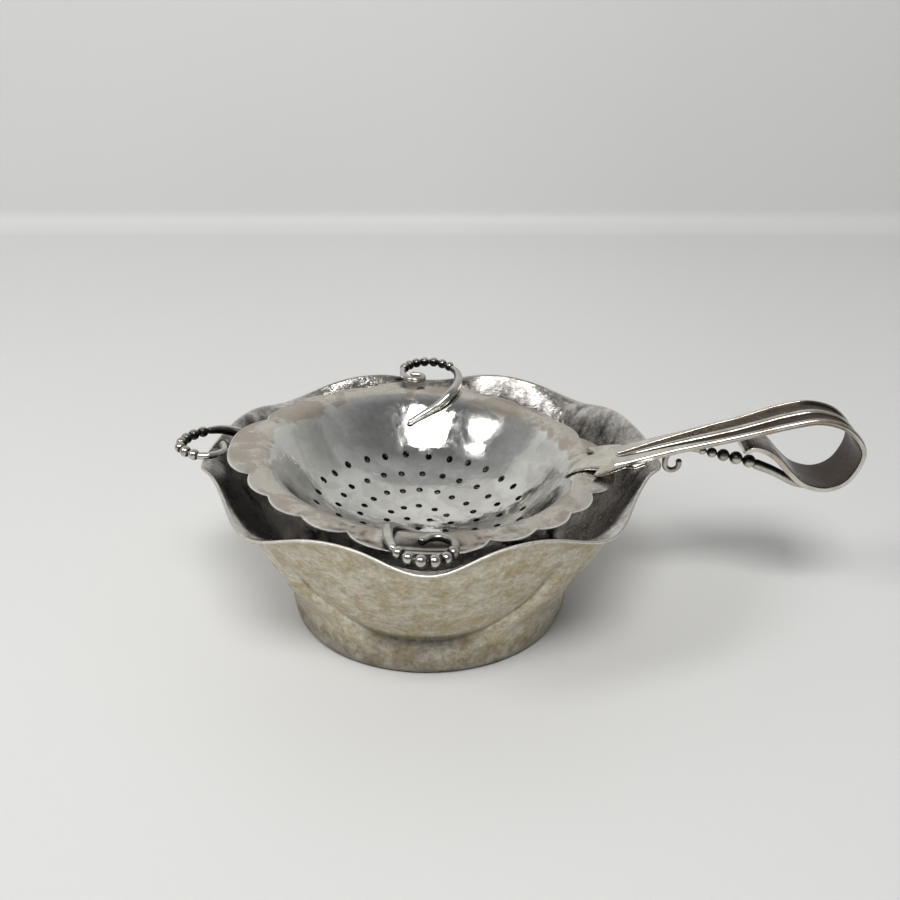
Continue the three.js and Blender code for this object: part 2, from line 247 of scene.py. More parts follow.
def joined(parts):
    """Several (points, faces) pairs as one."""
    points, faces, count = [], [], 0
    for p, f in parts:
        points.append(p)
        faces += [tuple(i + count for i in face) for face in f]
        count += len(p)
    return np.vstack(points), faces


# ---- materials -----------------------------------------------------------------
class Nodes:
    """Short names for the shader nodes of a material or of the world."""

    def __init__(self, owner, surface="Principled BSDF", coordinates="Object"):
        owner.use_nodes = True
        self.tree = owner.node_tree
        self.shader = self.tree.nodes[surface]
        self.place = self.add("ShaderNodeTexCoord").outputs[coordinates]

    def add(self, kind, **values):
        node = self.tree.nodes.new(kind)
        for name, value in values.items():
            setattr(node, name, value)
        return node

    def put(self, socket, value):
        if isinstance(value, bpy.types.NodeSocket):
            self.tree.links.new(value, socket)
        else:
            socket.default_value = value

    def noise(self, scale, detail=4, stretch=(1, 1, 1), rough=0.5, warp=0.0):
        mapping = self.add("ShaderNodeMapping")
        self.put(mapping.inputs["Vector"], self.place)
        mapping.inputs["Scale"].default_value = stretch
        node = self.add("ShaderNodeTexNoise")
        self.put(node.inputs["Vector"], mapping.outputs[0])
        node.inputs["Scale"].default_value = scale
        node.inputs["Detail"].default_value = detail
        node.inputs["Roughness"].default_value = rough
        node.inputs["Distortion"].default_value = warp
        return node.outputs["Fac"]

    def ramp(self, value, stops):
        node = self.add("ShaderNodeValToRGB")
        self.put(node.inputs["Fac"], value)
        elements = node.color_ramp.elements
        while len(elements) < len(stops):
            elements.new(0.5)
        for element, (at, level) in zip(elements, stops):
            element.position = at
            element.color = (*level, 1) if isinstance(level, tuple) else (level, level, level, 1)
        return node.outputs["Color"]

    def math(self, operation, a, b=0.0, clamp=False):
        node = self.add("ShaderNodeMath", operation=operation, use_clamp=clamp)
        self.put(node.inputs[0], a)
        self.put(node.inputs[1], b)
        return node.outputs[0]

    def around(self, value, strength):
        """A noise that runs from 0 to 1, moved to run about zero, times a strength."""
        return self.math("MULTIPLY", self.math("SUBTRACT", value, 0.5), strength)

    def axes(self):
        node = self.add("ShaderNodeSeparateXYZ")
        self.put(node.inputs[0], self.place)
        return node.outputs

    def mix(self, share, a, b, blend="MIX"):
        node = self.add("ShaderNodeMix", data_type="RGBA", blend_type=blend)
        self.put(node.inputs[0], share)
        self.put(node.inputs[6], a if isinstance(a, bpy.types.NodeSocket) else (*a, 1))
        self.put(node.inputs[7], b if isinstance(b, bpy.types.NodeSocket) else (*b, 1))
        return node.outputs[2]

    def attribute(self, name):
        return self.add("ShaderNodeAttribute", attribute_name=name).outputs["Fac"]

    def bump(self, height, strength, distance, below=None):
        node = self.add("ShaderNodeBump")
        node.inputs["Strength"].default_value = strength
        node.inputs["Distance"].default_value = distance
        self.put(node.inputs["Height"], height)
        if below is not None:
            self.put(node.inputs["Normal"], below)
        return node.outputs[0]


def silver(name, clean, tarnish, rough, share_range=(0.45, 0.6), patch=55, contrast=0.25, planish=0.3,
           brushed=0.25, inside=None, grain_size=240, dull=0.16, streak=0.3, pitted=0.00008,
           oxide_and_shade_colour=(0.035, 0.032, 0.031)):
    """Old silver: clean metal and patches of tarnish, blackened where the 'dark' attribute is high: oxidised
    silver in hollows, and painted shade and painted dark reflection where the pieces put them into that
    attribute; bright metal where the 'worn' attribute is high. Inside gives the metal where 'inner' is 1:
    colour, tarnish colour, roughness, and how much the edge of that zone wanders. Patch and grain_size are
    noise scales, planish and brushed are strengths of the dents and the fine marks, dull is how much rougher
    tarnish is, streak how streaky the darkening is inside, pitted the depth of the grain in metres."""
    material = bpy.data.materials.new(name)
    n = Nodes(material)
    patches = n.noise(patch, detail=6, rough=0.62, warp=0.6)
    specks = n.noise(420, detail=5, rough=0.7)
    scuffs = n.noise(900, detail=3, stretch=(1, 1, 0.25), rough=0.6)
    mottle = n.noise(grain_size, detail=6, rough=0.68, warp=0.4)
    edge = n.math("ADD", patches, n.around(specks, 0.22))
    share = n.ramp(edge, [(share_range[0], 0.0), (share_range[1], 1.0)])
    base_rough = rough
    streak_share = 0.3
    if inside is not None:
        inner_colour, inner_tarnish, inner_rough, wander = inside
        inner = n.math("ADD", n.attribute("inner"), n.around(edge, wander))
        inner = n.ramp(inner, [(0.46, 0.0), (0.54, 1.0)])
        clean = n.mix(inner, clean, inner_colour)
        tarnish = n.mix(inner, tarnish, inner_tarnish)
        base_rough = n.math("ADD", rough, n.math("MULTIPLY", inner, inner_rough - rough))
        streak_share = n.math("ADD", 0.15, n.math("MULTIPLY", inner, streak))
    colour = n.mix(share, clean, tarnish)
    low = 1.0 - contrast
    grain = n.ramp(mottle, [(0.36, (low, low, low * 0.97)), (0.62, (1.0, 1.0, 1.0))])
    colour = n.mix(1.0, colour, grain, "MULTIPLY")
    streaks = n.noise(260, detail=4, stretch=(1, 1, 0.12), rough=0.6)
    # Darkening mask: oxidised silver, plus painted shade and painted dark reflection from the 'dark'
    # attribute, broken by specks and streaks
    darkening = n.math("ADD", n.attribute("dark"), n.around(specks, 0.3))
    darkening = n.math("ADD", darkening, n.around(streaks, streak_share))
    darkening = n.ramp(darkening, [(0.3, 0.0), (0.72, 1.0)])
    colour = n.mix(darkening, colour, oxide_and_shade_colour)
    colour = n.mix(n.attribute("worn"), colour, WORN_METAL)
    n.put(n.shader.inputs["Base Color"], colour)
    n.shader.inputs["Metallic"].default_value = 1.0
    roughness = n.math("ADD", base_rough, n.around(scuffs, 0.16))
    roughness = n.math("ADD", roughness, n.math("MULTIPLY", share, dull))
    roughness = n.math("ADD", roughness, n.math("MULTIPLY", darkening, 0.1), clamp=True)
    n.put(n.shader.inputs["Roughness"], roughness)
    dents = n.bump(n.noise(150, detail=2, rough=0.5), planish, 0.0006)
    fine = n.bump(scuffs, brushed, 0.00004, dents)
    grains = n.bump(mottle, brushed, pitted, fine)
    n.put(n.shader.inputs["Normal"], grains)
    return material


bowl_silver = silver("bowl_silver_aged", (0.665, 0.63, 0.53), (0.53, 0.45, 0.305), 0.28, (0.40, 0.62),
                     patch=260, contrast=0.34, planish=0.34, brushed=0.9, grain_size=950,
                     inside=((0.78, 0.76, 0.74), (0.5, 0.46, 0.42), 0.07, 0.0), streak=1.3, pitted=0.00016)
strainer_silver = silver("strainer_silver_satin", (0.74, 0.74, 0.72), (0.64, 0.635, 0.61), 0.07,
                         (0.47, 0.53), patch=80, contrast=0.1, planish=0.36, brushed=0.4,
                         inside=((0.62, 0.585, 0.535), (0.48, 0.43, 0.375), 0.25, 0.9), dull=0.09)
handle_silver = silver("handle_silver_worn", (0.72, 0.69, 0.63), (0.50, 0.40, 0.30), 0.17, (0.48, 0.68),
                       contrast=0.25, planish=0.14, brushed=0.4, oxide_and_shade_colour=(0.06, 0.046, 0.038))
wire_silver = silver("wire_silver_worn", (0.66, 0.65, 0.61), (0.44, 0.40, 0.34), 0.22, (0.45, 0.7),
                     contrast=0.25, planish=0.06, brushed=0.4)
bead_silver = silver("bead_silver_worn", (0.66, 0.63, 0.58), (0.38, 0.32, 0.26), 0.2, (0.5, 0.7),
                     contrast=0.3, planish=0.05, brushed=0.4)


# ---- drip bowl ------------------------------------------------------------------
def wave(angle):
    """The rim's wave, highest at the tip of a lobe."""
    return np.cos(LOBES * angle) + 0.11 * np.cos(2 * LOBES * angle)


def petal_crease(angle, z):
    """The body has four broad petals. Each is bounded by a U-shaped crease in the metal, low in the middle
    of the petal and running up beside it. Returns how far the surface is moved outwards, and how much
    painted shade lies along the crease."""
    a = np.abs((np.degrees(angle) + 45 + PETAL_TURN) % 90 - 45)
    below_rim = np.clip(PETAL_TOP - z, 0, None)
    level = (a / PETAL_HALF) ** 3 + (below_rim / PETAL_DROP) ** 3
    across = 3 * (a / PETAL_HALF) ** 2 / PETAL_HALF / 0.62
    upward = 3 * (below_rim / PETAL_DROP) ** 2 / PETAL_DROP / 1.25
    away = (1 - level) / (np.hypot(across, upward) + 0.02)
    fade = np.clip((PETAL_TOP - z) / 9, 0, 1)
    at_front = 0.5 - 0.5 * np.sin(angle)
    upright = np.clip((a - 22) / 14, 0, 1)
    depth = (0.75 + 0.45 * at_front) * fade
    crease = np.exp(-(away / (1.8 - 0.6 * upright)) ** 2)
    shoulder = (0.1 + 0.9 * upright) * np.exp(-((away + 3.0) / 2.0) ** 2)
    corner = np.exp(-((a - 45) / 7) ** 2) * np.exp(-((z - 16) / 8) ** 2)
    return fade * (0.5 * shoulder + 0.5 * corner) - depth * crease, fade * np.exp(-(away / 1.0) ** 2)


def drip_bowl():
    """Rows are radius, height, share of outward wave, share of downward wave, darkness, wear."""
    # The darkness column paints shade on the bulge, darkest at the foot and fading out just under the crease
    outside = [
        (0, 0.25, 0, 0, 0.6, 0), (14, 0.25, 0, 0, 0.6, 0), (27.2, 0.2, 0, 0, 0.6, 0),
        (28.9, 0.0, 0, 0, 0.6, 0), (29.7, 0.15, 0, 0, 0.6, 0), (30.5, 0.95, 0, 0, 0.54, 0),
        (31.2, 2.6, 0, 0, 0.47, 0), (31.7, 4.6, 0, 0, 0.45, 0), (32.0, 6.7, 0, 0, 0.38, 0),
        (32.4, 8.8, 0, 0, 0.22, 0), (33.1, 10.7, 0, 0, 0, 0), (34.3, 12.8, 0.05, 0, 0, 0),
        (36.6, 16.2, 0.1, 0, 0, 0), (39.9, 21.4, 0.15, 0, 0, 0), (42.8, 26.3, 0.2, 0.05, 0, 0),
        (45.4, 30.7, 0.25, 0.1, 0, 0), (46.8, 33.8, 0.35, 0.25, 0, 0), (48.3, 35.9, 0.65, 0.6, 0.05, 0),
        (49.85, 37.2, 1, 1, 0, 0), (50.05, 37.55, 1, 1, 0, 0.6), (49.9, 37.85, 1, 1, 0, 0.6),
    ]
    # The darkness column is painted shade and painted dark reflection inside, light at the lip, deeper lower
    # down
    inside = [
        (49.5, 37.85, 1, 1, 0.1, 0.1), (48.9, 37.4, 0.9, 0.85, 0.3, 0), (47.9, 36.65, 0.65, 0.6, 0.36, 0),
        (46.15, 34.4, 0.35, 0.25, 0.44, 0), (44.5, 31.2, 0.25, 0.1, 0.43, 0),
        (41.9, 26.8, 0.2, 0.05, 0.38, 0), (39.0, 21.9, 0.15, 0, 0.36, 0), (35.7, 16.8, 0.1, 0, 0.36, 0),
        (33.4, 13.2, 0.05, 0, 0.4, 0),
        (32.1, 10.9, 0, 0, 0.45, 0), (31.25, 8.8, 0, 0, 0.5, 0), (30.9, 6.6, 0, 0, 0.5, 0),
        (30.7, 4.6, 0, 0, 0.55, 0), (30.3, 2.6, 0, 0, 0.55, 0), (28.6, 1.2, 0, 0, 0.45, 0),
        (14, 1.0, 0, 0, 0.4, 0), (0, 1.0, 0, 0, 0.4, 0),
    ]
    outer, inner = smooth(outside, OUTSIDE_ROWS), smooth(inside, INSIDE_ROWS)
    profile = np.vstack([outer, inner])
    around = np.linspace(0, 2 * math.pi, BOWL_AROUND, endpoint=False)
    w = wave(around)
    hammered = 0.05 * np.sin(11 * around + 1) + 0.04 * np.sin(23 * around + 2)
    points, shades = [], []
    for r, z, out, down, dark, worn in profile:
        moved, crease_shade = petal_crease(around, z)
        share = np.clip((r - 26) / 4, 0, 1)
        ring_r = np.maximum(r, 0.01) + WAVE_OUT * out * w + share * moved
        ring_r = ring_r + hammered * min(1, r / 30) * math.sin(z / 3.1)
        ring_z = z - WAVE_DOWN * down * w
        shift = FOOT_SHIFT * np.clip(1 - z / FOOT_SHIFT_TOP, 0, 1)
        ring = [ring_r * np.cos(around) - shift, ring_r * np.sin(around) - shift, ring_z]
        points.append(np.stack(ring, axis=1))
        # The crease adds painted shade to the row's darkness
        shades.append(np.stack([dark + 0.45 * share * crease_shade, np.full(len(around), worn)], axis=1))
    shades = np.vstack(shades)
    inner_side = np.repeat([0.0] * len(outer) + [1.0] * len(inner), len(around))
    make("drip_bowl_raised", np.vstack(points), tube_faces(len(profile), len(around)), "bowl", "drip_bowl",
         "bowl_silver", bowl_silver, dark=shades[:, 0], worn=shades[:, 1], inner=inner_side)


# ---- strainer -------------------------------------------------------------------
# Radius and height of the upper face, from the edge to the middle.
FACE = np.array([
    (41.0, -0.35), (38.5, 0.0), (36.6, 0.0), (34.2, -0.9), (31.8, -3.1), (28.2, -7.2), (23.5, -11.8),
    (18.6, -14.4), (13.4, -16.3), (7.4, -17.45), (0, -17.9),
])
# Rings of drain holes: radius, number of holes, first azimuth in degrees.
HOLE_RINGS = [(23.5, 28, 86.5), (18.6, 24, 89), (13.4, 20, 90), (7.4, 12, 90), (3.0, 3, 30)]


def face_table():
    """Fine table of the upper face: radius, height and the normal's outward and upward parts."""
    line = smooth(FACE[::-1], 600)
    line[0, 0] = 0
    slope = np.gradient(line[:, 1], line[:, 0])
    slope[0] = 0
    length = np.hypot(1, slope)
    return line[:, 0], line[:, 1], -slope / length, 1 / length


def rim_radius(angle):
    """Radius of the scalloped edge in a direction."""
    a = math.degrees(angle) % 90
    if a > 45:
        a = 90 - a
    lobe = WIDE_LOBE if a <= WIDE_LOBE[0] else SMALL_LOBE
    if lobe is WIDE_LOBE:
        s = a / lobe[0]
    else:
        s = ((a - WIDE_LOBE[0]) % (2 * lobe[0])) / lobe[0] - 1
    return NOTCH_RADIUS + lobe[1] * (1 - abs(s) ** lobe[2])


def pierced_layout():
    """The strainer's face laid flat: outline, holes and filling points, triangulated."""
    points, loops = [], []

    def add_loop(loop):
        start = len(points)
        points.extend(loop)
        loops.append(list(range(start, start + len(loop))))

    rim = [math.radians(a) for a in np.arange(0, 360, RIM_STEP)]
    insets = (0.0, EDGE_ROUND, 1.1, 2.2)
    for inset in insets:
        edge = [rim_radius(a) - inset for a in rim]
        add_loop([(r * math.cos(a), r * math.sin(a)) for r, a in zip(edge, rim)])
    holes = []
    for radius, count, start in HOLE_RINGS:
        for i in range(count):
            a = math.radians(start + 360 * i / count) + 0.012 * math.sin(2.1 * i + radius)
            r = radius + 0.2 * math.sin(3.7 * i + radius)
            holes.append((r * math.cos(a), r * math.sin(a)))
    for x, y in holes:
        add_loop([(x + HOLE_RADIUS * math.cos(b), y + HOLE_RADIUS * math.sin(b))
                  for b in np.linspace(0, 2 * math.pi, HOLE_SIDES, endpoint=False)])
    near = np.array(holes)
    for radius in np.arange(0.9, FACE_END, FACE_STEP):
        count = max(6, int(2 * math.pi * radius / 0.95))
        for i in range(count):
            a = 2 * math.pi * (i + 0.5 * (int(radius / FACE_STEP) % 2)) / count
            x, y = radius * math.cos(a), radius * math.sin(a)
            if np.min(np.hypot(near[:, 0] - x, near[:, 1] - y)) > HOLE_RADIUS + 0.35:
                points.append((x, y))
    edges = [(loop[i], loop[(i + 1) % len(loop)]) for loop in loops for i in range(len(loop))]
    out = delaunay_2d_cdt([Vector(p) for p in points], edges, [], 0, CDT_LIMIT)
    flat = np.array([tuple(v) for v in out[0]])
    where = {old: new for new, olds in enumerate(out[3]) for old in olds}
    loops = [[where[i] for i in loop] for loop in loops]
    outline = set(loops[0])
    kept = []
    for face in out[2]:
        cx, cy = flat[list(face)].mean(axis=0)
        over_hole = np.min(np.hypot(near[:, 0] - cx, near[:, 1] - cy)) < HOLE_RADIUS * 0.93
        outside = outline.issuperset(face) and math.hypot(cx, cy) > rim_radius(math.atan2(cy, cx))
        if not over_hole and not outside:
            kept.append(tuple(face))
    return flat, kept, loops[0], loops[len(insets):]


def edge_roll(flat):
    """Distance in from the scalloped edge, for rounding it over."""
    radius = np.hypot(flat[:, 0], flat[:, 1])
    rim = np.array([rim_radius(math.atan2(y, x)) for x, y in flat])
    return np.clip(rim - radius, 0, 5)


def strainer_bowl():
    """An upper and a lower face, joined round the scalloped edge and round every hole."""
    flat, triangles, outline, hole_loops = pierced_layout()
    radii, heights, outward, upward = face_table()
    radius = np.hypot(flat[:, 0], flat[:, 1])
    unit = flat / np.maximum(radius, 1e-6)[:, None]
    height = np.interp(radius, radii, heights)
    n_out = np.interp(radius, radii, outward)
    n_up = np.interp(radius, radii, upward)
    normal = np.stack([unit[:, 0] * n_out, unit[:, 1] * n_out, n_up], axis=1)
    inset = edge_roll(flat)
    rounding = 0.3 * np.clip(1 - inset / EDGE_ROUND, 0, 1) ** 2
    top = np.stack([flat[:, 0], flat[:, 1], height - rounding], axis=1)
    bottom = top - normal * (STRAINER_SHEET - 2 * rounding)[:, None]
    # Painted dark reflection on the front of the flange, in streaky rings, and painted shade round the top
    # edges of the holes
    from_front = np.degrees(np.arctan2(flat[:, 1], flat[:, 0])) + 90
    rings = 0.5 + 0.5 * np.sin(radius * 3.4 + 0.07 * from_front)
    on_flange = np.clip((radius - 33.5) / 2.5, 0, 1)
    top_painted_shade = np.exp(-(from_front / 36) ** 2) * on_flange * (0.3 + 0.5 * rings ** 2)
    for loop in hole_loops:
        top_painted_shade[loop] = 0.3
    worn = [np.clip(1 - inset / 0.35, 0, 1) * (height > -3), np.zeros(len(flat))]
    flange = [np.clip(0.5 + (radius - 34.0) / 8, 0, 1), np.zeros(len(flat))]
    count = len(flat)
    faces = triangles + [tuple(i + count for i in reversed(t)) for t in triangles]
    points = [top, bottom]
    # The underside gets painted shade throughout
    dark = [top_painted_shade, np.full(count, 0.35)]
    normals = [normal, -normal]

    def wall(loop, shade, inwards, bulge=0.0, lean=0.0, wear=0.0):
        """Joins the two faces round a loop. Shade is painted shade on the wall, wear its worn value. Lean
        tips the normals at its edges.
        """
        start = sum(len(p) for p in points)
        a, b = top[loop], bottom[loop]
        middle = (a + b) / 2
        centre = middle.mean(axis=0)
        out = middle - centre
        out[:, 2] = 0
        out /= np.linalg.norm(out, axis=1)[:, None]
        if inwards:
            out = -out
        m = len(loop)
        points.extend([a, middle + bulge * out, b])
        dark.extend([np.full(m, shade)] * 3)
        worn.extend([np.full(m, wear)] * 3)
        flange.extend([np.zeros(m)] * 3)
        normals.extend([out + lean * normal[loop], out, out - lean * normal[loop]])
        for row in range(2):
            upper, lower = start + row * m, start + (row + 1) * m
            for i in range(m):
                j = (i + 1) % m
                quad = (upper + i, lower + i, lower + j, upper + j)
                faces.append(tuple(reversed(quad)) if inwards else quad)

    wall(outline, 0.0, inwards=False, bulge=0.12, lean=0.7, wear=1.0)
    # Painted shade inside the holes
    for loop in hole_loops:
        wall(loop, 0.45, inwards=True)
    normals = np.vstack(normals)
    normals /= np.linalg.norm(normals, axis=1)[:, None]
    points = to_strainer(np.vstack(points))
    normals = to_strainer(normals) - np.array(STRAINER_AT)
    make("strainer_pierced", points, faces, "strainer", "strainer_bowl", "strainer_silver",
         strainer_silver, normals=normals, dark=np.concatenate(dark), worn=np.concatenate(worn),
         inner=np.concatenate(flange))


# ---- rim tendrils ---------------------------------------------------------------
# Along the rim, outwards, up: the wire's line from its tip inside the strainer, the balls, the scroll.
BACK = {
    "stem": [(-3.4, 28.6, -5.3), (-1.1, 30.0, -4.2), (1.4, 31.1, -2.9), (3.8, 31.9, -1.3), (6.1, 33.6, 0.7),
             (7.6, 37.0, 1.5), (8.2, 42.0, 1.5), (7.9, 46.3, 1.5), (6.8, 49.0, 1.5)],
    "balls": [(5.9, 50.6, 1.5), (3.0, 52.8, 1.5), (-0.6, 52.9, 1.5), (-3.9, 50.7, 1.5), (-5.7, 47.8, 1.5)],
    "scroll": [(-6.1, 46.2, 1.5), (-6.0, 43.0, 1.5), (-4.6, 40.5, 1.5), (-2.5, 39.7, 1.5),
               (-0.8, 41.2, 1.5), (-1.4, 43.2, 1.5), (-3.4, 43.4, 1.5)],
}
FRONT = {
    "stem": [(-3.4, 28.6, -5.6), (-1.3, 30.0, -4.4), (1.0, 31.2, -3.3), (3.3, 32.4, -2.0), (5.2, 34.6, -0.2),
             (6.1, 37.4, 1.2), (6.1, 40.6, 2.0), (5.6, 44.2, 2.4), (4.8, 46.8, 2.4)],
    "balls": [(3.7, 48.4, 2.3), (1.2, 50.4, 2.3), (-1.8, 51.0, 2.3), (-4.8, 50.0, 2.3), (-6.6, 47.2, 2.3)],
    "scroll": [(-7.0, 45.9, 2.4), (-6.6, 43.6, 2.4), (-4.6, 42.0, 2.4), (-2.4, 42.2, 2.4),
               (-0.7, 43.7, 2.4)],
}
LEFT = {
    "stem": [(4.8, 36.6, -4.0), (7.4, 39.0, -2.6), (8.3, 42.4, -1.4), (7.6, 46.0, -0.5), (6.4, 48.8, -0.3)],
    "balls": [(5.4, 50.2, -0.3), (2.8, 52.5, -0.3), (-0.6, 53.7, -0.3), (-4.2, 53.2, -0.3),
              (-6.6, 50.0, -0.3)],
    "scroll": [(-7.1, 48.6, -0.3), (-6.6, 46.4, -0.3), (-5.2, 44.7, -0.3), (-3.2, 43.9, -0.3),
               (-1.2, 44.6, 0.0)],
}
LOOP_CENTRE = np.array([0.0, 46.5, 1.0])


def oxide_and_shade_inside(points, centre, base):
    """Darkens the side of a wire or ball that faces into the loop, and its underside: partly oxidised silver
    left there, partly painted shade.
    """
    away = points - centre
    away /= np.maximum(np.linalg.norm(away, axis=1), 1e-6)[:, None]
    inwards = LOOP_CENTRE - centre
    inwards[..., 2] = 0
    inwards /= np.linalg.norm(inwards, axis=-1, keepdims=True)
    return base + 0.65 * np.sum(away * inwards, axis=1) - 0.5 * away[:, 2]


def ball_dark(points, centre, along, radius):
    """Oxide stays where neighbouring balls meet."""
    along = along / np.linalg.norm(along)
    return np.clip((np.abs((points - centre) @ along) / radius - 0.55) * 1.8, 0, 0.8)


def tendril_wire(name, node, place, path, radii, base):
    points, faces = wire(path, radii, (0, 0, 1.0))
    nearest = np.argmin(np.linalg.norm(points[:, None] - path[None], axis=2), axis=1)
    # Partly oxidised silver, partly painted shade, on the wire's inner side and underside
    make(name, place(points), faces, "strainer", node, "wire_silver", wire_silver,
         dark=oxide_and_shade_inside(points, path[nearest], base))


def tendril(side, azimuth, shape, balls, darkening, scroll_radius=0.8):
    """A stem, a row of balls with small ones between them, and a scroll. Darkening is the base darkness
    at the stem and at the scroll, partly oxidised silver and partly painted shade."""
    place = to_rim(azimuth)
    tendril_wire(f"{side}_tendril_wire", f"{side}_tendril_stem", place, smooth(shape["stem"], 60),
                 [(0, 0.72), (0.12, 0.95), (0.45, 1.22), (0.75, 1.1), (1, 0.85)], darkening[0])
    line = smooth(shape["balls"], balls * 2 - 1)
    along = np.gradient(line, axis=0)
    for i in range(balls):
        centre, direction = line[2 * i], along[2 * i]
        parts = [lathe_ball(centre, direction, 1.25, 0.25)]
        ball = parts[0][0]
        base = darkening[0] + (darkening[1] - darkening[0]) * i / (balls - 1)
        # Partly oxidised silver, partly painted shade, on each ball's inner side and underside, and oxidised
        # silver where balls meet
        shades = [oxide_and_shade_inside(ball, centre, base) + ball_dark(ball, centre, direction, 1.2)]
        if i + 1 < balls:
            parts.append(lathe_ball(line[2 * i + 1], along[2 * i + 1], 0.62, 0.4, sides=16, steps=10))
            shades.append(np.full(len(parts[1][0]), base + 0.25))
        points, faces = joined(parts)
        make(f"{side}_tendril_ball_{i + 1}", place(points), faces, "strainer",
             f"{side}_tendril_bead_{i + 1}", "bead_silver", bead_silver, dark=np.concatenate(shades))
    tendril_wire(f"{side}_tendril_curl", f"{side}_tendril_scroll", place, smooth(shape["scroll"], 50),
                 [(0, scroll_radius), (0.85, scroll_radius * 0.85), (1, scroll_radius * 0.95)], darkening[1])


# ---- handle ---------------------------------------------------------------------
# The strap's line seen from the side, along X and up, from the leaf round the finger loop to its tail.
STRAP = [
    (33.4, 36.4), (38.0, 36.2), (42.5, 36.9), (48.5, 38.6), (55.1, 40.4), (68.1, 43.7), (78.7, 46.8),
    (85.2, 47.7), (91.2, 45.6), (94.8, 40.4), (92.6, 34.2), (88.1, 31.6), (82.8, 32.6), (79.1, 35.6),
    (76.2, 38.8), (73.4, 40.7), (70.8, 41.3), (68.6, 40.2),
]
# Share of the line, width.
STRAP_WIDTH = [(0, 9.4), (0.07, 9.4), (0.2, 9.2), (0.35, 10.2), (0.45, 12.0), (0.6, 12.5), (1, 12.0)]
LOOP_PAINTED_SHADE = 0.62         # painted shade and dark reflection on the inner face of the finger loop
STRAP_STARTS = 0.07      # share of the line where the strap leaves the leaf
# The leaf that the strap grows out of, seen from above.
LEAF = [
    (47.5, -4.9), (44.5, -5.2), (42.3, -5.5), (39.0, -6.3), (35.6, -7.1), (37.2, -3.8), (33.6, -3.4),
    (29.8, -2.4), (31.4, 0.0), (33.2, 1.6), (37.2, 3.9), (35.6, 7.6), (38.8, 8.2), (41.5, 7.3), (44.5, 5.7),
    (47.5, 4.9),
]


def strap_section(half, opening):
    """Across the strap: thread, flute, rib, flute, thread, then the plain back. Rows are side, height and
    darkness. Opening goes from 0 at the leaf, where the flutes are narrow and shallow, to 1."""
    depth = 0.7 * min(1, 0.35 + 1.3 * opening)
    outer = 0.9 + (half - 1.0 - 0.9) * opening
    darkening = min(1, 0.5 + opening)
    rows = [(-half + 0.02, -0.3, 0.15), (-half, 0.2, 0.0), (-half + 0.22, 0.56, 0.0),
            (-half + 0.6, 0.7, 0.0), (-outer - 0.04, 0.64, 0.0),
            (-outer + 0.1, 0.68 - 0.75 * depth, 0.95 * darkening), (-outer * 0.66, 0.68 - depth, 1.1 * darkening),
            (-0.34 - 0.85 * opening, 0.68 - 0.85 * depth, 0.95 * darkening),
            (-0.18 - 0.6 * opening, 0.42, 0.3 * darkening), (0.0, 0.66, 0.0)]
    rows += [(-side, height, dark) for side, height, dark in rows[-2::-1]]
    rows += [(half - 0.3, -0.58, 0.1), (0.0, -0.6, 0.0), (-half + 0.3, -0.58, 0.1)]
    return rows


def strap_sweep():
    """The strap from the leaf to the end of its tail."""
    line = smooth(STRAP, STRAP_ROWS)
    path = np.stack([line[:, 0], np.zeros(len(line)), line[:, 1]], axis=1)
    along, side, up = directions(path, np.array([0.0, 1.0, 0.0]))
    u = np.linspace(0, 1, len(path))
    stops = np.array(STRAP_WIDTH)
    width = np.interp(u, stops[:, 0], stops[:, 1])
    points, dark, rings = [], [], 0
    for i in np.nonzero(u >= STRAP_STARTS)[0]:
        opening = np.clip((u[i] - STRAP_STARTS) / 0.24, 0.0, 1) ** 0.75
        end = np.clip((1 - u[i]) / 0.012, 0, 1) ** 0.5
        rows = np.array(strap_section(width[i] / 2, opening))
        rows[:, 1] = rows[:, 1] * (0.25 + 0.75 * end)
        fine = smooth(np.vstack([rows, rows[:1]]), STRAP_AROUND + 1)[:-1]
        # Painted shade and dark reflection on the inner face of the finger loop, deepest round its far end
        # and bottom
        in_loop = np.clip((u[i] - 0.4) / 0.08, 0, 1)
        deep = np.clip((u[i] - 0.54) / 0.05, 0, 1) * np.clip((0.86 - u[i]) / 0.06, 0, 1)
        for s, h, d in fine:
            points.append(path[i] + s * (0.9 + 0.1 * end) * side[i] + h * up[i])
            dark.append(d + in_loop * (h < -0.45) * (LOOP_PAINTED_SHADE + 0.35 * deep))
        rings += 1
    return np.array(points), tube_faces(rings, STRAP_AROUND), np.array(dark)


def flange_top(x, y):
    """Height of the strainer's upper face above a point in the row frame."""
    radii, heights, _, _ = face_table()
    z = np.full(len(x), 36.0)
    for _ in range(6):
        local = from_strainer(np.stack([x, y, z], axis=1))
        z += np.interp(np.hypot(local[:, 0], local[:, 1]), radii, heights) - local[:, 2]
    return z


